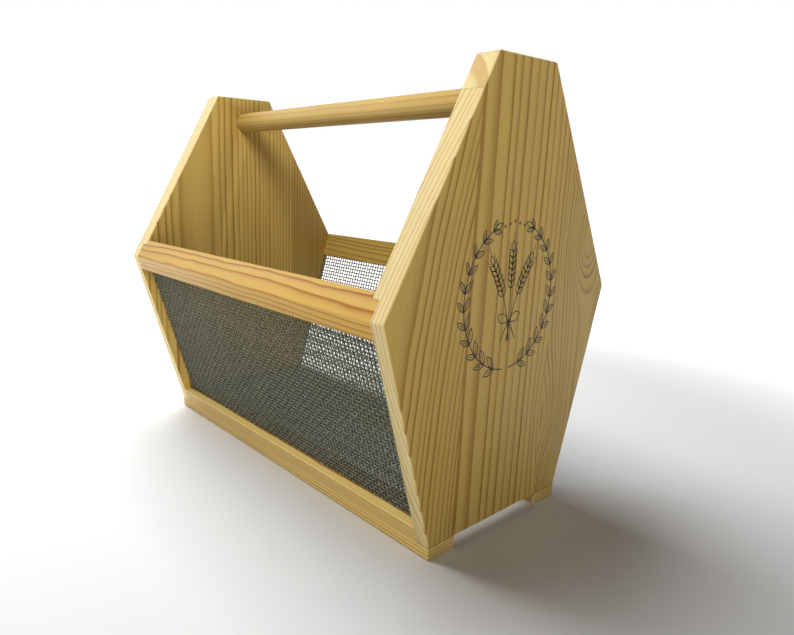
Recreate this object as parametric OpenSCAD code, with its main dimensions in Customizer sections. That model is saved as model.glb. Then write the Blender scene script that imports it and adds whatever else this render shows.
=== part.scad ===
// Farmhouse egg basket: two pine end panels joined by a round handle bar and four
// long rails, with woven wire cloth for the two sloping walls and the floor.
// X runs along the basket, +Y is the back, Z is up, and the floor it stands on is z = 0.

/* [End panels] */
// Length of the whole basket, over both end panels
overall_l = 364; // [300:1:440]
// Height of the whole basket
overall_h = 321; // [290:1:360]
// Thickness of the end panels
panel_t = 18; // [16:0.5:22]
// Width of the panels along their top edge
top_w = 60; // [50:1:90]
// Width of the panels at their side corners
widest_w = 235; // [210:1:270]
// Height of the side corners above the table
widest_z = 166; // [150:1:185]
// Width of the panels along their bottom edge
bottom_w = 143; // [125:1:165]
// Height of the panels' bottom edge above the table
foot_h = 9; // [6:0.5:12]
// Corner radius at the top of the panels
top_corner_r = 4; // [1:0.5:8]
// Corner radius at the sides of the panels and rails
side_corner_r = 3; // [1:0.5:6]
// Size of the small bevel on the panels' edges
arris = 0.8; // [0.4:0.1:1.2]
// How deep the rabbet on each panel's inner edge runs into the panel
rabbet_d = 7; // [5:0.5:9]

/* [Handle] */
// Diameter of the handle bar
dowel_d = 18.5; // [14:0.5:24]
// Height from the handle's centre to the top of the panels
dowel_drop = 24; // [18:1:34]
// How far the handle runs into each panel
dowel_seat = 12; // [8:0.5:13]

/* [Top rails] */
// Thickness of the front top rail, square to the sloping wall
front_rail_t = 14; // [12.5:0.5:17]
// Thickness of the back top rail, square to the sloping wall
back_rail_t = 11.5; // [11:0.5:17]
// Height of the side corners above the top rails' underside
rail_drop = 12.5; // [9:0.5:16]
// Width of the flat along the top rails' upper edge, measured down from the point
rail_flat = 1.5; // [0.5:0.1:2.5]
// Depth of the saw cut under the top rails that holds the wire cloth
kerf_d = 6; // [4:0.5:8]

/* [Bottom rails] */
// Width of the bottom rails where they stand on the table
foot_w = 25; // [21:0.5:30]
// Height of the bottom rails
foot_rail_h = 21.5; // [18:0.5:26]
// Corner radius along the rails' edges
rail_r = 1; // [0.5:0.1:1.5]

/* [Wire cloth] */
// Diameter of the cloth's wires
wire_d = 1; // [0.8:0.1:1.2]
// Spacing of the wires along the basket
pitch_x = 4; // [3:0.5:6]
// Spacing of the wires across the basket
pitch_s = 3.5; // [3:0.5:6]
// One wire in this many is modelled
drawn_every = 5; // [4:1:8]
// How far the cloth lies inside the panels' sloping edges
cloth_inset = 7.8; // [7:0.1:8.6]

/* [Staples] */
// Width of the staples
staple_w = 10; // [8:0.5:11]
// Length of the staples' legs
staple_leg = 8; // [6:0.5:12]
// Thickness of the staples' wire
staple_t = 1; // [0.7:0.1:1.3]
// Distance from the bottom rails' inner edge to the staples
staple_in = 11; // [8:0.5:13]
// Number of staples in each bottom rail
staple_count = 5; // [3:1:7]
// Distance from the end panels to the outer staples
staple_end = 44; // [15:1:60]

/* [Hidden] */

PINE = [0.80, 0.66, 0.40];
PALE_PINE = [0.86, 0.73, 0.48];
GOLDEN_PINE = [0.78, 0.60, 0.32];
WIRE = [0.52, 0.53, 0.50];
STEEL = [0.66, 0.67, 0.68];

// Clearance between a piece and the cut that it seats in
fit = 0.2;
// How far a cutting shape runs past the face that it cuts
past = 1;
// Steps in a rounded corner
corner_steps = 5;

inner_x = overall_l / 2 - panel_t;
seat_x = inner_x + rabbet_d;
dowel_z = overall_h - dowel_drop;

// The sloping edges, as half widths y at a height z
low_slope = (widest_w - bottom_w) / 2 / (widest_z - foot_h);
top_slope = (widest_w - top_w) / 2 / (overall_h - widest_z);
tilt = atan(low_slope);
function low_y(z) = bottom_w / 2 + (z - foot_h) * low_slope;
function top_y(z) = widest_w / 2 - (z - widest_z) * top_slope;
// A line parallel to the lower edge, at a depth square to it
function inset_y(z, depth) = low_y(z) - depth / cos(tilt);

cloth_t = 2 * wire_d;
rabbet_w = cloth_inset + cloth_t + fit;
rabbet_z = foot_rail_h + cloth_t + fit;
rail_z = widest_z - rail_drop;
foot_in = bottom_w / 2 - foot_w;
net_x = pitch_x * drawn_every;
net_s = pitch_s * drawn_every;

// Places of the staples along the bottom rails
staple_reach = inner_x - staple_end;
staple_xs = [for (i = [0 : staple_count - 1])
             staple_reach * (2 * i / (staple_count - 1) - 1)];

function unit(v) = v / norm(v);

// Points of the arc of radius r that rounds corner b between a and c
function corner_arc(a, b, c, r) =
    let (u = unit(a - b), v = unit(c - b), half = acos(u * v) / 2,
         centre = b + unit(u + v) * r / sin(half),
         start = b + u * r / tan(half) - centre, end = b + v * r / tan(half) - centre,
         from = atan2(start.y, start.x),
         turn = (atan2(end.y, end.x) - from + 540) % 360 - 180)
    [for (i = [0 : corner_steps])
        centre + r * [cos(from + turn * i / corner_steps), sin(from + turn * i / corner_steps)]];

// An outline whose corner i has radius radii[i]
function rounded(points, radii) =
    let (n = len(points))
    [for (i = [0 : n - 1])
        each corner_arc(points[(i + n - 1) % n], points[i], points[(i + 1) % n], radii[i])];

panel_corners = [[-bottom_w / 2, foot_h], [bottom_w / 2, foot_h],
                 [widest_w / 2, widest_z], [top_w / 2, overall_h],
                 [-top_w / 2, overall_h], [-widest_w / 2, widest_z]];
panel_radii = [rail_r, rail_r, side_corner_r, top_corner_r, top_corner_r, side_corner_r];

// Stands a drawing of the y-z plane up and extrudes it along X
module along_x(from, length) {
    translate([from, 0, 0])
        rotate([90, 0, 90])
            linear_extrude(length)
                children();
}

module at_both_ends() {
    children();
    mirror([1, 0, 0]) children();
}

// Bevels one straight edge of the panels' outline, along both faces
module edge_bevel(a, b) {
    side = arris * sqrt(2);
    for (x = [inner_x, inner_x + panel_t])
        translate([x, a.x, a.y])
            rotate([atan2(b.y - a.y, b.x - a.x), 0, 0])
                rotate([0, 45, 0])
                    translate([-side / 2, -past, -side / 2])
                        cube([side, norm(b - a) + 2 * past, side]);
}

// Everything that lies outside the rabbet's wall and floor
module rabbet_section() {
    high = overall_h + past;
    difference() {
        translate([-widest_w, 0]) square([2 * widest_w, high]);
        polygon([[-inset_y(rabbet_z, rabbet_w), rabbet_z], [inset_y(rabbet_z, rabbet_w), rabbet_z],
                 [inset_y(high + past, rabbet_w), high + past],
                 [-inset_y(high + past, rabbet_w), high + past]]);
    }
}

// Six-sided panel, rabbeted along its lower edges, with a blind hole for the handle
module end_panel() {
    n = len(panel_corners);
    difference() {
        along_x(inner_x, panel_t) polygon(rounded(panel_corners, panel_radii));
        for (i = [0 : n - 1]) edge_bevel(panel_corners[i], panel_corners[(i + 1) % n]);
        along_x(inner_x - past, rabbet_d + past) rabbet_section();
        translate([inner_x - past, 0, dowel_z])
            rotate([0, 90, 0])
                cylinder(d = dowel_d + 2 * fit, h = dowel_seat + fit + past, $fn = 96);
    }
}

module end_panel_right() {
    color(PINE) end_panel();
}

module end_panel_left() {
    color(PINE) mirror([1, 0, 0]) end_panel();
}

module handle_dowel() {
    length = 2 * (inner_x + dowel_seat);
    color(PALE_PINE)
        translate([-length / 2, 0, dowel_z])
            rotate([0, 90, 0])
                cylinder(d = dowel_d, h = length, $fn = 96);
}

// Back top rail's section: flush with both slopes outside, parallel to the lower one inside
module top_rail_section(t) {
    tip_z = widest_z + t / cos(tilt) / (low_slope + top_slope);
    flat_z = tip_z - rail_flat;
    polygon(rounded(
        [[inset_y(rail_z, t), rail_z], [low_y(rail_z), rail_z], [widest_w / 2, widest_z],
         [top_y(flat_z), flat_z], [inset_y(flat_z, t), flat_z]],
        [rail_r, rail_r, side_corner_r, rail_flat / 5, rail_flat / 5]));
}

// Saw cut that takes the upper edge of the wire cloth
module kerf_section() {
    low = rail_z - past;
    high = rail_z + kerf_d;
    near = cloth_inset - fit;
    far = cloth_inset + cloth_t + fit;
    polygon([[inset_y(low, far), low], [inset_y(low, near), low],
             [inset_y(high, near), high], [inset_y(high, far), high]]);
}

// What the panels' inner faces stop: all that is deeper than the rabbet
module behind_rabbet_section() {
    low = rail_z - 2 * past;
    high = overall_h;
    polygon([[0, low], [inset_y(low, rabbet_w - fit), low],
             [inset_y(high, rabbet_w - fit), high], [0, high]]);
}

module top_rail(t) {
    difference() {
        along_x(-seat_x, 2 * seat_x) top_rail_section(t);
        along_x(-seat_x - past, 2 * (seat_x + past)) kerf_section();
        at_both_ends() along_x(inner_x, rabbet_d + past) behind_rabbet_section();
    }
}

module back_top_rail() {
    color(GOLDEN_PINE) top_rail(back_rail_t);
}

module front_top_rail() {
    color(GOLDEN_PINE) mirror([0, 1, 0]) top_rail(front_rail_t);
}

// One staple over the floor cloth; slack widens it into the holes for its legs
module staple(slack) {
    top_z = foot_rail_h + cloth_t;
    t = staple_t + 2 * slack;
    for (side = [-1, 1])
        translate([side * (staple_w - staple_t) / 2 - t / 2, -t / 2, top_z - staple_leg - slack])
            cube([t, t, staple_leg + slack]);
    translate([-staple_w / 2 - slack, -t / 2, top_z])
        cube([staple_w + 2 * slack, t, staple_t]);
}

module staple_row(slack) {
    for (x = staple_xs)
        translate([x, foot_in + staple_in, 0])
            staple(slack);
}

// Stands on the table, runs under both panels and rises into their rabbets between them
module bottom_rail() {
    difference() {
        along_x(-overall_l / 2, overall_l)
            polygon(rounded(
                [[foot_in, 0], [bottom_w / 2, 0], [bottom_w / 2, foot_h],
                 [low_y(foot_rail_h), foot_rail_h], [foot_in, foot_rail_h]],
                [rail_r, rail_r, rail_r, rail_r, rail_r]));
        at_both_ends()
            translate([seat_x, foot_in - past, foot_h])
                cube([panel_t, foot_w + widest_w, foot_rail_h]);
        staple_row(fit);
    }
}

module back_bottom_rail() {
    color(PINE) bottom_rail();
}

module front_bottom_rail() {
    color(PINE) mirror([0, 1, 0]) bottom_rail();
}

// Flat net of crossed wires: columns count out from x = 0 and rows from zero to depth
module net(rows, depth_from, depth_to) {
    half_x = seat_x - fit;
    columns = floor((half_x - wire_d) / net_x);
    linear_extrude(cloth_t) {
        for (i = [-columns : columns])
            translate([i * net_x - wire_d / 2, depth_from]) square([wire_d, depth_to - depth_from]);
        for (s = rows)
            translate([-half_x, s - wire_d / 2]) square([2 * half_x, wire_d]);
    }
}

// Sloping wall of cloth, from the bottom rail's top face up into the top rail's kerf
module wall_mesh() {
    height = (rail_z + kerf_d - fit - foot_rail_h) / cos(tilt) - cloth_t * low_slope;
    translate([0, inset_y(foot_rail_h, cloth_inset), foot_rail_h])
        rotate([90 - tilt, 0, 0])
            net([for (s = [wire_d : net_s : height - wire_d]) s], 0, height);
}

module back_mesh() {
    color(WIRE) wall_mesh();
}

module front_mesh() {
    color(WIRE) mirror([0, 1, 0]) wall_mesh();
}

// Floor of cloth, lying on both bottom rails between the two walls
module floor_mesh() {
    half_y = inset_y(foot_rail_h, cloth_inset + cloth_t) - fit;
    rows = floor((half_y - wire_d) / net_s);
    color(WIRE)
        translate([0, 0, foot_rail_h])
            net([for (i = [-rows : rows]) i * net_s], -half_y, half_y);
}

module back_staples() {
    color(STEEL) staple_row(0);
}

module front_staples() {
    color(STEEL) mirror([0, 1, 0]) staple_row(0);
}

end_panel_left();
end_panel_right();
handle_dowel();
front_top_rail();
back_top_rail();
front_bottom_rail();
back_bottom_rail();
front_mesh();
back_mesh();
floor_mesh();
front_staples();
back_staples();
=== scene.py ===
# Egg basket: materials, woven wire cloth, line decoration, light and camera.
# Shapes are written in millimetres, in the part's own frame, and made in metres.
import math

import bmesh
import bpy
import numpy as np
from mathutils import Matrix, Vector


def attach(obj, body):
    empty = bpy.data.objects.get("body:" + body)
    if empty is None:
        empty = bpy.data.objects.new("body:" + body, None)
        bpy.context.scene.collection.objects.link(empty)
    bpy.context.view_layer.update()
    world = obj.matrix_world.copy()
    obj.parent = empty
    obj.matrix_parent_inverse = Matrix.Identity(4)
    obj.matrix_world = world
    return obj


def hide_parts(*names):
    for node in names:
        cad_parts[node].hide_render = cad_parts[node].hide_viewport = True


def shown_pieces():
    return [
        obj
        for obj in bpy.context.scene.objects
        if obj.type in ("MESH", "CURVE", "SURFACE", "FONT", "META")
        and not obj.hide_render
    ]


MM = 0.001
BODY = "root"

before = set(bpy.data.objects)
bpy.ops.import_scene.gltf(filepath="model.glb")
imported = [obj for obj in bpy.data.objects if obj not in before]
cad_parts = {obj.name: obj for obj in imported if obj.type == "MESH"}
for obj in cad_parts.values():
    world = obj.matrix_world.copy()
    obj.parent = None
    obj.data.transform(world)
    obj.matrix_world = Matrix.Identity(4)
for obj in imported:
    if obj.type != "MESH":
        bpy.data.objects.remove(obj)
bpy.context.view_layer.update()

# The part's sizes that the pieces here repeat
PANEL_FACE = 182.0
INNER_FACE = 164.0
RABBET_D, KERF_D, FIT_GAP = 7.0, 6.0, 0.2
SIDE_CORNER = (117.5, 166.0)
FOOT_HALF, FOOT_H = 71.5, 9.0
TOP_HALF, OVERALL_H = 30.0, 321.0
LOW_SLOPE = (SIDE_CORNER[0] - FOOT_HALF) / (SIDE_CORNER[1] - FOOT_H)
TOP_SLOPE = (SIDE_CORNER[0] - TOP_HALF) / (OVERALL_H - SIDE_CORNER[1])
FOOT_RAIL_H = 21.5
RAIL_UNDERSIDE = 153.5
DOWEL_R, DOWEL_Z, DOWEL_HALF = 9.25, 297.0, 176.0
WIRE_D, WIRE_SEEN = 1.0, 1.12
PITCH_X, PITCH_S, CLOTH_INSET = 4.0, 3.5, 7.8

# The photograph, in pixels: its width, the lens and where the lens points across it
PHOTO_W, LENS_PX, LENS_CENTRE_X = 794, 627.5, 361.77
SENSOR_W = 36.0


# Camera: solved from the straight edges in the photograph
def make_camera():
    yaw, pitch, roll = math.radians(49.29), math.radians(12.783), math.radians(1.166)
    look = Vector((-math.sin(yaw) * math.cos(pitch), math.cos(yaw) * math.cos(pitch),
                   -math.sin(pitch)))
    right = Vector((math.cos(yaw), math.sin(yaw), 0))
    up = right.cross(look)
    side = right * math.cos(roll) + up * math.sin(roll)
    top = up * math.cos(roll) - right * math.sin(roll)
    data = bpy.data.cameras.new("camera")
    data.sensor_width = SENSOR_W
    data.lens = SENSOR_W * LENS_PX / PHOTO_W
    data.shift_x = (PHOTO_W / 2 - LENS_CENTRE_X) / PHOTO_W
    data.clip_start, data.clip_end = 0.01, 50
    camera = bpy.data.objects.new("camera", data)
    turn = Matrix((side, top, -look)).transposed().to_4x4()
    camera.matrix_world = Matrix.Translation((0.42975, -0.34631, 0.24706)) @ turn
    bpy.context.scene.collection.objects.link(camera)
    bpy.context.scene.camera = camera


make_camera()


# Shader values that can be written as sums and products
class Val:
    def __init__(self, tree, socket):
        self.tree = tree
        self.socket = socket

    def op(self, kind, *others, clamp=False):
        node = self.tree.nodes.new("ShaderNodeMath")
        node.operation = kind
        node.use_clamp = clamp
        for socket, value in zip(node.inputs, (self, *others)):
            feed(self.tree, socket, value)
        return Val(self.tree, node.outputs[0])

    def __add__(self, other):
        return self.op("ADD", other)

    __radd__ = __add__

    def __sub__(self, other):
        return self.op("SUBTRACT", other)

    def __rsub__(self, other):
        return self.op("MULTIPLY", -1.0).op("ADD", other)

    def __mul__(self, other):
        return self.op("MULTIPLY", other)

    __rmul__ = __mul__

    def __truediv__(self, other):
        return self.op("DIVIDE", other)

    def step(self, low, high):
        """0 below low and 1 above high, smooth between them"""
        node = self.tree.nodes.new("ShaderNodeMapRange")
        node.interpolation_type = "SMOOTHSTEP"
        for socket, value in zip(node.inputs, (self, low, high, 0.0, 1.0)):
            feed(self.tree, socket, value)
        return Val(self.tree, node.outputs[0])


def feed(tree, socket, value):
    if isinstance(value, Val):
        tree.links.new(value.socket, socket)
    else:
        socket.default_value = value


def linear(colour):
    """Linear RGBA of an sRGB colour written 0 to 255"""
    parts = [c / 255 for c in colour]
    return [c / 12.92 if c <= 0.04045 else ((c + 0.055) / 1.055) ** 2.4
            for c in parts] + [1.0]


def point(tree, x, y, z):
    node = tree.nodes.new("ShaderNodeCombineXYZ")
    for socket, value in zip(node.inputs, (x, y, z)):
        feed(tree, socket, value)
    return node.outputs[0]


def noise(tree, x, y, z, detail=2.0, rough=0.5):
    """Noise around zero, from about -0.5 to 0.5"""
    node = tree.nodes.new("ShaderNodeTexNoise")
    node.inputs["Scale"].default_value = 1.0
    node.inputs["Detail"].default_value = detail
    node.inputs["Roughness"].default_value = rough
    tree.links.new(point(tree, x, y, z), node.inputs["Vector"])
    return Val(tree, node.outputs["Fac"]) - 0.5


def ramp(tree, value, stops):
    """Grey ramp through (place, level) stops"""
    node = tree.nodes.new("ShaderNodeValToRGB")
    elements = node.color_ramp.elements
    while len(elements) < len(stops):
        elements.new(0.5)
    for element, (place, level) in zip(elements, stops):
        element.position = place
        element.color = (level, level, level, 1.0)
    tree.links.new(value.socket, node.inputs["Fac"])
    return Val(tree, node.outputs["Color"])


def mix(tree, share, first, second, blend="MIX"):
    node = tree.nodes.new("ShaderNodeMix")
    node.data_type = "RGBA"
    node.blend_type = blend
    feed(tree, node.inputs[0], share)
    for socket, value in ((node.inputs[6], first), (node.inputs[7], second)):
        if isinstance(value, (list, tuple)):
            socket.default_value = value
        else:
            tree.links.new(value, socket)
    return node.outputs[2]


def new_material(name):
    material = bpy.data.materials.new(name)
    material.use_nodes = True
    tree = material.node_tree
    return material, tree, tree.nodes["Principled BSDF"]


def coordinates(tree):
    """The surface point in millimetres and the surface normal, as three values each"""
    node = tree.nodes.new("ShaderNodeTexCoord")
    out = []
    for name in ("Object", "Normal"):
        split = tree.nodes.new("ShaderNodeSeparateXYZ")
        tree.links.new(node.outputs[name], split.inputs[0])
        out.append([Val(tree, s) for s in split.outputs])
    return [v * 1000.0 for v in out[0]], out[1]


# Wood: year rings round a pith that lies beside the board, cut by its faces
class Stave:
    """One board of a panel, or a whole rail, with its pith at (across, depth). rate is its rings
    per millimetre, crowd makes them closer outward, and lean, bend and drift say how the pith
    strays along the grain."""

    def __init__(self, pith, rate, crowd=0.0, lean=0.0, bend=0.0, drift=0.0, seed=0.0, tone=1.0,
                 late=1.0):
        self.pith_a, self.pith_d = pith
        self.rate, self.crowd, self.lean, self.bend, self.drift = rate, crowd, lean, bend, drift
        self.seed, self.tone, self.late = seed, tone, late


def pick(tree, masks, staves, name):
    """The value that each stave has, chosen by the masks of the second stave and on"""
    values = [getattr(s, name) for s in staves]
    out = values[0]
    for mask, before, after in zip(masks, values, values[1:]):
        out = mask * (after - before) + out
    return out


def ring_field(tree, along, across, depth, masks, staves, knots, wander):
    """Counts year rings outward from the pith: each whole number is a ring's dark edge"""

    def of(name):
        return pick(tree, masks, staves, name)

    strays = noise(tree, along * 0.006, across * 0.02, depth * 0.02, 2.0) * (4.0 * wander)
    ripples = noise(tree, along * 0.03 + 7.0, across * 0.05, depth * 0.05, 1.0) * (1.2 * wander)
    a = across - along * of("lean") - along * along * of("bend") - of("pith_a") + strays
    d = depth - along * of("drift") - of("pith_d") + ripples
    r = (a * a + d * d).op("SQRT")
    for k_across, k_along, w_across, w_along, lift in knots:
        u = (across - k_across) / w_across
        v = (along - k_along) / w_along
        r = r + (u * u + v * v).op("MULTIPLY", -1.0).op("EXPONENT") * lift
    uneven = noise(tree, r * 0.12, of("seed") + r * 0.0, 0.0, 1.0) * 1.3
    return r * of("rate") + r * r * of("crowd") + uneven + of("seed")


def pine(name, grain, staves, seams=(), seam_tilt=0.0, knots=(), pale=(208, 175, 94),
         dark=(150, 104, 32), edge=None, contrast=1.0, wander=1.0, rough=0.46):
    """Pine with a clear satin finish. grain is the axis that its fibres follow."""
    material, tree, shader = new_material(name)
    (x, y, z), (nx, ny, nz) = coordinates(tree)
    if grain == "Z":
        along, across, depth = z, y - z * seam_tilt, x
        flat = nx.op("ABSOLUTE")
    else:
        along, across, depth = x, y, z
        flat = nx.op("ABSOLUTE") * -1.0 + 1.0
    masks = [across.op("GREATER_THAN", place) for place in seams]
    rings = ring_field(tree, along, across, depth, masks, staves, knots, wander)
    profile = ramp(tree, rings.op("FRACT"),
                   [(0.0, 0.75), (0.05, 0.10), (0.15, 0.0), (0.50, 0.06), (0.74, 0.36),
                    (0.90, 0.95), (1.0, 1.0)])
    strength = noise(tree, rings.op("FLOOR") * 3.7, 0.5, 0.0, 0.0) * 1.0 + 0.8
    late = profile * strength * pick(tree, masks, staves, "late")
    fibres = noise(tree, along * 0.03, across * 1.6, depth * 1.6, 3.0, 0.6)
    streaks = noise(tree, along * 0.008, across * 0.35, depth * 0.35, 2.0)
    clouds = noise(tree, along * 0.012, across * 0.03, depth * 0.03, 2.0)
    pores = noise(tree, along * 0.12, across * 3.0, depth * 3.0, 1.0).step(0.20, 0.28)
    share = late * contrast + fibres * 0.16 + streaks * 0.22
    colour = mix(tree, share.op("ADD", 0.0, clamp=True), linear(pale), linear(dark))
    if edge:
        share = late * contrast * 0.75 + fibres * 0.25 + streaks * 0.2
        cut = mix(tree, share.op("ADD", 0.0, clamp=True), linear(edge[0]), linear(edge[1]))
        colour = mix(tree, flat.step(0.55, 0.85), cut, colour)
    level = (clouds * 0.16 + fibres * 0.10 + 1.0) * (1.0 - pores * 0.10)
    # Each board's tone scales its colour. On the far panel's first board it is partly the wood's own paler
    # tone and partly painted light that brightens the far panel's inner face.
    level = level * pick(tree, masks, staves, "tone")
    for place in seams:
        level = level * ((across - place).op("ABSOLUTE").step(0.08, 0.30) * 0.22 + 0.78)
    grey = tree.nodes.new("ShaderNodeCombineColor")
    for socket in grey.inputs:
        feed(tree, socket, level)
    colour = mix(tree, 1.0, colour, grey.outputs[0], "MULTIPLY")
    tree.links.new(colour, shader.inputs["Base Color"])
    feed(tree, shader.inputs["Roughness"], fibres * 0.2 + late * -0.06 + rough)
    bump = tree.nodes.new("ShaderNodeBump")
    bump.inputs["Strength"].default_value = 0.5
    bump.inputs["Distance"].default_value = 0.00012
    feed(tree, bump.inputs["Height"], late * 0.6 + fibres * 0.8 - pores * 0.5)
    tree.links.new(bump.outputs[0], shader.inputs["Normal"])
    shader.inputs["Specular IOR Level"].default_value = 0.22
    return material


PANEL_EDGE = ((228, 208, 150), (188, 142, 70))

near_pine = pine(
    "pine_near_panel", "Z",
    [Stave((-130, 232), 1 / 3.6, bend=0.0005, seed=0.3),
     Stave((-75, 155), 0.040, crowd=0.00052, seed=1.7, tone=1.03),
     Stave((95, 218), 1 / 3.4, seed=2.1, tone=0.98)],
    seams=(-48.6, 44.3), seam_tilt=0.02,
    knots=((84, 204, 20, 32, -17.0), (76, 22, 20, 20, -12.0), (52, 74, 15, 46, 11.0),
           (60, 250, 5, 6, -4.0)),
    edge=PANEL_EDGE)
far_pine = pine(
    "pine_far_panel", "Z",
    # This board's tone of 1.16 is partly paler wood and partly painted light: the far panel is made brighter
    # to stand in for more light on its inner face.
    [Stave((-59, -224), 1 / 3.6, seed=0.8, tone=1.16),
     Stave((-10, -204), 1 / 2.8, seed=0.2, tone=1.0, late=1.4)],
    seams=(58.0,), seam_tilt=0.01, edge=PANEL_EDGE)
front_rail_pine = pine(
    "pine_front_rail", "X", [Stave((-80, 118), 1 / 4.2, lean=0.05, drift=0.03, seed=0.4)],
    pale=(212, 172, 88), dark=(156, 94, 26), wander=1.6)
back_rail_pine = pine(
    "pine_back_rail", "X", [Stave((60, 120), 1 / 4.4, lean=-0.05, seed=1.4)],
    pale=(212, 180, 96), dark=(160, 104, 24), wander=1.6)
foot_pine = pine(
    "pine_bottom_rails", "X", [Stave((-52, -45), 1 / 2.7, seed=0.5)],
    pale=(212, 184, 112), dark=(160, 114, 46), wander=0.6)
dowel_pine = pine(
    "pine_handle", "X", [Stave((30, 250), 1 / 3.2, seed=0.1)],
    pale=(210, 178, 104), dark=(170, 124, 54), contrast=0.6, wander=0.6)


def wire_material():
    material, tree, shader = new_material("galvanised_wire")
    (x, y, z), normal = coordinates(tree)
    spots = noise(tree, x * 0.25, y * 0.25, z * 0.25, 3.0, 0.6)
    fine = noise(tree, x * 1.8, y * 1.8, z * 1.8, 2.0)
    share = (spots * 1.6 + fine * 0.8 + 0.5).op("ADD", 0.0, clamp=True)
    colour = mix(tree, share, linear((78, 80, 66)), linear((128, 130, 114)))
    tree.links.new(colour, shader.inputs["Base Color"])
    feed(tree, shader.inputs["Roughness"], fine * 0.3 + 0.42)
    shader.inputs["Metallic"].default_value = 0.6
    return material


wire = wire_material()


def ink_material():
    material, tree, shader = new_material("black_ink")
    (x, y, z), normal = coordinates(tree)
    grainy = noise(tree, x, y * 1.5, z * 0.1, 3.0, 0.7)
    share = (grainy * 2.0 + 0.4).op("ADD", 0.0, clamp=True)
    colour = mix(tree, share, linear((24, 18, 14)), linear((48, 36, 24)))
    tree.links.new(colour, shader.inputs["Base Color"])
    feed(tree, shader.inputs["Roughness"], grainy * 0.3 + 0.6)
    return material


# Meshes
def add_object(name, bm, material, replaced=()):
    mesh = bpy.data.meshes.new(name)
    bm.to_mesh(mesh)
    bm.free()
    piece = bpy.data.objects.new(name, mesh)
    bpy.context.scene.collection.objects.link(piece)
    mesh.materials.append(material)
    if replaced:
        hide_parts(*replaced)
    return piece


def apply_modifiers(piece):
    view = bpy.context.evaluated_depsgraph_get()
    mesh = bpy.data.meshes.new_from_object(piece.evaluated_get(view))
    piece.modifiers.clear()
    piece.data = mesh


def soften_back_corner(bm, radius=17.0):
    """Takes the back side corner down to a larger radius, by planes tangent to it"""
    low, top = math.atan(LOW_SLOPE), math.atan(TOP_SLOPE)
    half = (low + top) / 2
    middle = (top - low) / 2
    inward = radius / math.cos(half)
    centre = Vector((0, SIDE_CORNER[0] - inward * math.cos(middle),
                     SIDE_CORNER[1] - inward * math.sin(middle)))
    cuts = 9
    for k in range(cuts):
        turn = -low + (low + top) * (k + 0.5) / cuts
        normal = Vector((0, math.cos(turn), math.sin(turn)))
        geometry = [*bm.verts, *bm.edges, *bm.faces]
        made = bmesh.ops.bisect_plane(bm, geom=geometry, dist=1e-7, plane_no=normal,
                                      plane_co=(centre + normal * radius) * MM, clear_outer=True)
        rim = [e for e in made["geom_cut"] if isinstance(e, bmesh.types.BMEdge)]
        bmesh.ops.holes_fill(bm, edges=rim, sides=0)


def eased_copy(node, name, material, width=0.4, soften=False):
    """A copy of a CAD node whose sharp edges are rounded over"""
    bm = bmesh.new()
    bm.from_mesh(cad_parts[node].data)
    bmesh.ops.remove_doubles(bm, verts=bm.verts, dist=1e-6)
    if soften:
        soften_back_corner(bm)
    bmesh.ops.dissolve_limit(bm, angle_limit=math.radians(0.3), verts=bm.verts, edges=bm.edges)
    for face in bm.faces:
        face.smooth = True
    piece = add_object(name, bm, material, (node,))
    piece.data.materials.clear()
    piece.data.materials.append(material)
    bevel = piece.modifiers.new("ease", "BEVEL")
    bevel.width = width * MM
    bevel.segments = 2
    bevel.limit_method = "ANGLE"
    bevel.angle_limit = math.radians(32)
    bevel.harden_normals = True
    apply_modifiers(piece)
    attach(piece, BODY)
    return piece


eased_copy("end_panel_right", "near_panel", near_pine, soften=True)
eased_copy("end_panel_left", "far_panel", far_pine, soften=True)
eased_copy("front_top_rail", "front_rail", front_rail_pine)
eased_copy("back_top_rail", "back_rail", back_rail_pine, soften=True)
eased_copy("front_bottom_rail", "front_foot_rail", foot_pine)
eased_copy("back_bottom_rail", "back_foot_rail", foot_pine)


def handle():
    """The round bar, with its slightly domed ends"""
    sides = 64
    bm = bmesh.new()
    rows = []
    for x, r in ((-DOWEL_HALF, DOWEL_R - 1.0), (-DOWEL_HALF + 1.0, DOWEL_R), (-60, DOWEL_R), (60, DOWEL_R),
                 (DOWEL_HALF - 1.0, DOWEL_R), (DOWEL_HALF, DOWEL_R - 1.0)):
        rows.append([bm.verts.new((x * MM, r * MM * math.cos(a), (DOWEL_Z + r * math.sin(a)) * MM))
                     for a in (2 * math.pi * k / sides for k in range(sides))])
    for first, second in zip(rows, rows[1:]):
        for k in range(sides):
            face = bm.faces.new((first[k], first[k - 1], second[k - 1], second[k]))
            face.smooth = True
    bm.faces.new(rows[0])
    bm.faces.new(rows[-1][::-1])
    bmesh.ops.recalc_face_normals(bm, faces=bm.faces)
    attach(add_object("handle_bar", bm, dowel_pine, ("handle_dowel",)), BODY)


handle()


# Woven wire cloth: each wire passes over one crossing wire and under the next
def wire_rows(start, step, count, length_to, cross_start, cross_step, cross_count, phase):
    """Centre lines of one set of wires, as arrays of (place, along, lift)"""
    per = 2
    turns = np.arange((cross_count - 1) * per + 1) / per
    along = np.concatenate(([length_to[0]], cross_start + turns * cross_step, [length_to[1]]))
    swing = np.cos(np.pi * turns)
    swing = np.concatenate(([swing[0]], swing, [swing[-1]]))
    lines = []
    for k in range(count):
        sign = phase * (-1) ** k
        lines.append(np.stack([np.full(len(along), start + k * step), along, sign * swing * WIRE_D / 2], -1))
    return lines


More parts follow.
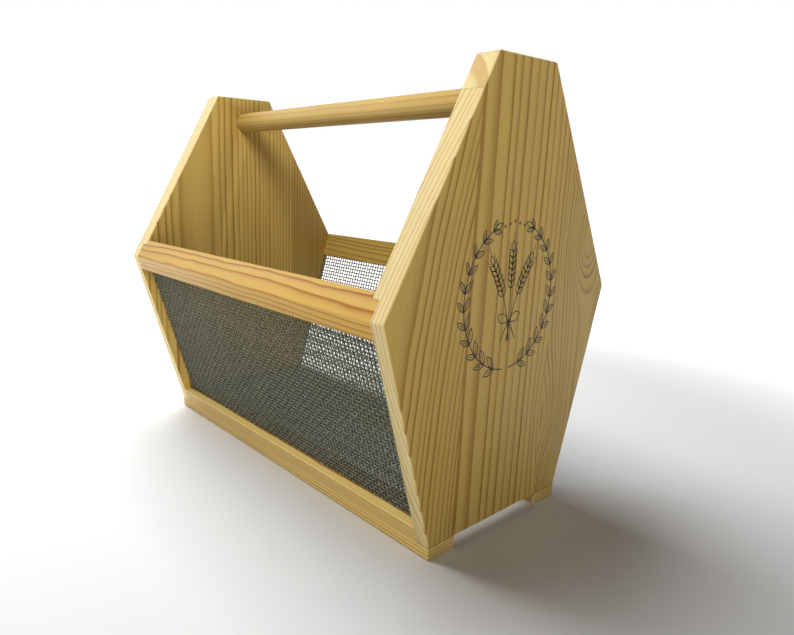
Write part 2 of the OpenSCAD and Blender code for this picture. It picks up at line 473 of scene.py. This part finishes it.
def cloth(name, node, half_x, s_range, first_s, count_s, place):
    """place turns rows of (x, s, lift) into points of the part's frame"""
    sides = 6
    columns = int((half_x - WIRE_D / 2) // PITCH_X)
    x0 = -columns * PITCH_X
    count_x = 2 * columns + 1
    warp = wire_rows(x0, PITCH_X, count_x, s_range, first_s, PITCH_S, count_s, 1)
    weft = wire_rows(first_s, PITCH_S, count_s, (-half_x, half_x), x0, PITCH_X, count_x, -1)
    verts, faces = [], []
    angles = 2 * np.pi * (np.arange(sides) + 0.5) / sides
    for lines, order in ((warp, (0, 1)), (weft, (1, 0))):
        for line in lines:
            base = sum(len(v) for v in verts)
            ring = np.zeros((len(line), sides, 3))
            ring[..., order[0]] = line[:, None, 0] + np.cos(angles) * WIRE_SEEN / 2
            ring[..., order[1]] = line[:, None, 1]
            ring[..., 2] = line[:, None, 2] + np.sin(angles) * WIRE_SEEN / 2
            verts.append(ring.reshape(-1, 3))
            n = len(line)
            for i in range(n - 1):
                for k in range(sides):
                    a, b = base + i * sides + k, base + i * sides + (k + 1) % sides
                    faces.append((a, b, b + sides, a + sides))
            faces.append([base + k for k in range(sides)][::-1])
            faces.append([base + (n - 1) * sides + k for k in range(sides)])
    points = place(np.concatenate(verts)) * MM
    mesh = bpy.data.meshes.new(name)
    mesh.from_pydata(points.tolist(), [], faces)
    bm = bmesh.new()
    bm.from_mesh(mesh)
    bmesh.ops.recalc_face_normals(bm, faces=bm.faces)
    for face in bm.faces:
        face.smooth = True
    bpy.data.meshes.remove(mesh)
    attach(add_object(name, bm, wire, (node,)), BODY)


def make_cloths():
    tilt = math.atan(LOW_SLOPE)
    half_x = INNER_FACE + RABBET_D - FIT_GAP
    foot_y = FOOT_HALF + (FOOT_RAIL_H - FOOT_H) * LOW_SLOPE
    rise = RAIL_UNDERSIDE + KERF_D - FIT_GAP - FOOT_RAIL_H
    height = rise / math.cos(tilt) - 2 * WIRE_D * LOW_SLOPE
    count = int((height - 2 * WIRE_D) // PITCH_S) + 1

    def wall(side):
        def place(p):
            x, s, lift = p[:, 0], p[:, 1], p[:, 2]
            inset = (CLOTH_INSET + WIRE_D - lift) / math.cos(tilt)
            y = foot_y - inset + s * math.sin(tilt)
            z = FOOT_RAIL_H + s * math.cos(tilt)
            return np.stack([x, side * y, z], -1)
        return place

    cloth("back_cloth", "back_mesh", half_x, (0.3, height), WIRE_D, count, wall(1))
    cloth("front_cloth", "front_mesh", half_x, (0.3, height), WIRE_D, count, wall(-1))
    half_y = foot_y - (CLOTH_INSET + 2 * WIRE_D) / math.cos(tilt) - FIT_GAP
    rows = int((half_y - WIRE_D) // PITCH_S)

    def floor_place(p):
        return np.stack([p[:, 0], p[:, 1], FOOT_RAIL_H + WIRE_D + p[:, 2]], -1)

    cloth("floor_cloth", "floor_mesh", half_x, (-half_y, half_y), -rows * PITCH_S, 2 * rows + 1, floor_place)


make_cloths()


# Line decoration on the end panel: leaf wreath round three ears of wheat
def leaf(y, z, angle, length, width, bulge=0.5):
    """Closed outline of a leaf or grain that starts at (y, z)"""
    t = np.linspace(0, 1, 13)
    side = width / 2 * np.sin(np.pi * t ** (0.7 + 0.6 * bulge))
    along = np.concatenate((t, t[-2:0:-1])) * length
    out = np.concatenate((side, -side[-2:0:-1]))
    c, s = math.cos(angle), math.sin(angle)
    return np.stack([y + along * c - out * s, z + along * s + out * c], -1)


def ray(y, z, angle, start, length):
    c, s = math.cos(angle), math.sin(angle)
    return np.array([[y + r * c, z + r * s] for r in (start, start + length)])


def curve(points, steps=16):
    """Smooth line through quadratic control points"""
    a, b, c = (np.array(p, float) for p in points)
    t = np.linspace(0, 1, steps)[:, None]
    return (1 - t) ** 2 * a + 2 * t * (1 - t) * b + t ** 2 * c


def wreath(strokes, cy, cz, half_w, half_h):
    for side in (-1, 1):
        turns = np.radians(np.linspace(-86, 64, 40))
        stem = np.stack([cy + side * half_w * np.cos(turns), cz + half_h * np.sin(turns)], -1)
        strokes.append((stem, 0.8, False))
        for k, turn in enumerate(np.radians(np.linspace(-74, 62, 11))):
            y, z = cy + side * half_w * math.cos(turn), cz + half_h * math.sin(turn)
            onward = math.atan2(half_h * math.cos(turn), -side * half_w * math.sin(turn))
            for way, size in ((0.62, 12.5), (-0.62, 11.0)):
                angle = onward + side * way
                length = size * (1.0 - 0.03 * k)
                strokes.append((leaf(y, z, angle, length, length * 0.36), 0.75, True))
                strokes.append((ray(y, z, angle, length * 0.12, length * 0.58), 0.5, False))
        tip = math.radians(64)
        y, z = cy + side * half_w * math.cos(tip), cz + half_h * math.sin(tip)
        onward = math.atan2(half_h * math.cos(tip), -side * half_w * math.sin(tip))
        strokes.append((leaf(y, z, onward, 9.0, 3.4), 0.75, True))


def wheat(strokes, y, z, lean, height):
    """An ear on a stalk that starts at (y, z) and leans by lean at its top"""
    stalk = curve(((y - lean * 0.22, z - 16), (y, z + height * 0.35), (y + lean, z + height)), 30)
    strokes.append((stalk, 0.8, False))
    for k in range(6):
        spot = stalk[29 - 2 * k]
        before = stalk[27 - 2 * k]
        angle = math.atan2(spot[1] - before[1], spot[0] - before[0])
        for way in (-0.55, 0.55):
            strokes.append((leaf(before[0], before[1], angle + way, 7.0, 3.2), 0.7, True))
            strokes.append((ray(before[0], before[1], angle + way * 0.7, 7.4, 4.2), 0.45, False))
    strokes.append((leaf(stalk[-1][0], stalk[-1][1], angle, 7.5, 3.4), 0.7, True))
    strokes.append((ray(stalk[-1][0], stalk[-1][1], angle, 8.2, 5.0), 0.45, False))


def bow(strokes, y, z):
    for side in (-1, 1):
        strokes.append((leaf(y, z, math.radians(90 - side * 68), 13.0, 6.4, 0.9), 0.75, True))
        strokes.append((curve(((y, z), (y + side * 4, z - 5), (y + side * 8, z - 13))), 0.75, False))


def decoration():
    strokes = []
    cy, cz = -3.0, 170.0
    wreath(strokes, cy, cz, 47.0, 50.0)
    wheat(strokes, cy, cz - 14, 0.0, 44)
    wheat(strokes, cy - 2.5, cz - 15, -17.0, 37)
    wheat(strokes, cy + 2.5, cz - 15, 17.0, 37)
    bow(strokes, cy, cz - 17)
    for k in range(5):
        y = cy + (k - 2) * 5.2
        strokes.append((leaf(y - 0.8, cz + 47 + 1.4 * (2 - abs(k - 2)), 0.0, 1.6, 1.5), 0.7, True))
    bm = bmesh.new()
    low, high = PANEL_FACE - 0.3, PANEL_FACE + 0.06
    for line, width, closed in strokes:
        step = np.roll(line, -1, 0) - np.roll(line, 1, 0) if closed else np.gradient(line, axis=0)
        step /= np.maximum(np.linalg.norm(step, axis=1), 1e-9)[:, None]
        side = np.stack([-step[:, 1], step[:, 0]], -1) * width / 2
        rows = []
        for p, q in zip(line + side, line - side):
            rows.append([bm.verts.new((x * MM, r[0] * MM, r[1] * MM))
                         for x, r in ((low, p), (high, p), (high, q), (low, q))])
        pairs = list(zip(rows, rows[1:])) + ([(rows[-1], rows[0])] if closed else [])
        for first, second in pairs:
            for k in range(4):
                bm.faces.new((first[k], first[k - 1], second[k - 1], second[k]))
        if not closed:
            bm.faces.new(rows[0])
            bm.faces.new(rows[-1][::-1])
    bmesh.ops.recalc_face_normals(bm, faces=bm.faces)
    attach(add_object("line_decoration", bm, ink_material()), BODY)


decoration()


def staple_material():
    material, tree, shader = new_material("staple_wire")
    (x, y, z), normal = coordinates(tree)
    fine = noise(tree, x * 0.8, y * 0.8, z * 0.8, 2.0)
    share = (fine + 0.5).op("ADD", 0.0, clamp=True)
    colour = mix(tree, share, linear((150, 152, 146)), linear((186, 188, 182)))
    tree.links.new(colour, shader.inputs["Base Color"])
    feed(tree, shader.inputs["Roughness"], fine * 0.2 + 0.36)
    shader.inputs["Metallic"].default_value = 0.9
    return material


staple_wire = staple_material()
for node in ("front_staples", "back_staples"):
    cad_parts[node].data.materials.clear()
    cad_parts[node].data.materials.append(staple_wire)


# Floor, light and background
def shown_to(tree, names):
    """1 for the ray types named"""
    node = tree.nodes.new("ShaderNodeLightPath")
    out = Val(tree, node.outputs[names[0]])
    for name in names[1:]:
        out = out.op("MAXIMUM", Val(tree, node.outputs[name]))
    return out


def make_floor():
    bm = bmesh.new()
    bmesh.ops.create_grid(bm, x_segments=1, y_segments=1, size=6.0)
    material, tree, shader = new_material("white_floor")
    shader.inputs["Base Color"].default_value = linear((236, 236, 236))
    shader.inputs["Roughness"].default_value = 0.9
    shader.inputs["Specular IOR Level"].default_value = 0.1
    shader.inputs["Emission Color"].default_value = (1, 1, 1, 1)
    (x, y, z), normal = coordinates(tree)
    away = (x * x + y * y).op("SQRT").step(380.0, 900.0)
    seen = shown_to(tree, ("Is Camera Ray", "Is Glossy Ray", "Is Transmission Ray"))
    feed(tree, shader.inputs["Emission Strength"], seen * (away + 0.02))
    floor = add_object("floor", bm, material)


# The world's plain level for light. The camera, glossy and transmission rays see white.
WORLD = 0.1


def make_world():
    world = bpy.data.worlds.new("white_room")
    bpy.context.scene.world = world
    world.use_nodes = True
    tree = world.node_tree
    background = tree.nodes["Background"]
    background.inputs["Color"].default_value = (1, 1, 1, 1)
    seen = shown_to(tree, ("Is Camera Ray", "Is Glossy Ray", "Is Transmission Ray"))
    feed(tree, background.inputs["Strength"], seen * (1.0 - WORLD) + WORLD)


def area(name, place, aim, size, watts, only=None):
    data = bpy.data.lights.new(name, "AREA")
    data.shape = "RECTANGLE"
    data.size, data.size_y = size
    data.energy = watts
    lamp = bpy.data.objects.new(name, data)
    lamp.location = place
    lamp.rotation_euler = (Vector(aim) - Vector(place)).to_track_quat("-Z", "Y").to_euler()
    bpy.context.scene.collection.objects.link(lamp)
    if only:
        lamp.light_linking.receiver_collection = only


make_world()
basket = bpy.data.collections.new("basket")
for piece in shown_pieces():
    basket.objects.link(piece)
make_floor()
ground = bpy.data.collections.new("ground")
ground.objects.link(bpy.data.objects["floor"])
area("floor_light", (-0.60, -0.12, 1.10), (0, 0, 0), (1.1, 1.1), 24, ground)
area("key", (0.32, -0.80, 1.30), (0, 0, 0.15), (0.6, 0.6), 15, basket)
area("side", (-1.0, -0.6, 0.9), (0, 0, 0.12), (0.8, 0.8), 5, basket)
area("fill", (1.0, -0.35, 0.05), (0.18, 0, 0.1), (1.0, 0.5), 2.6, basket)

bpy.context.scene.view_settings.view_transform = "Standard"
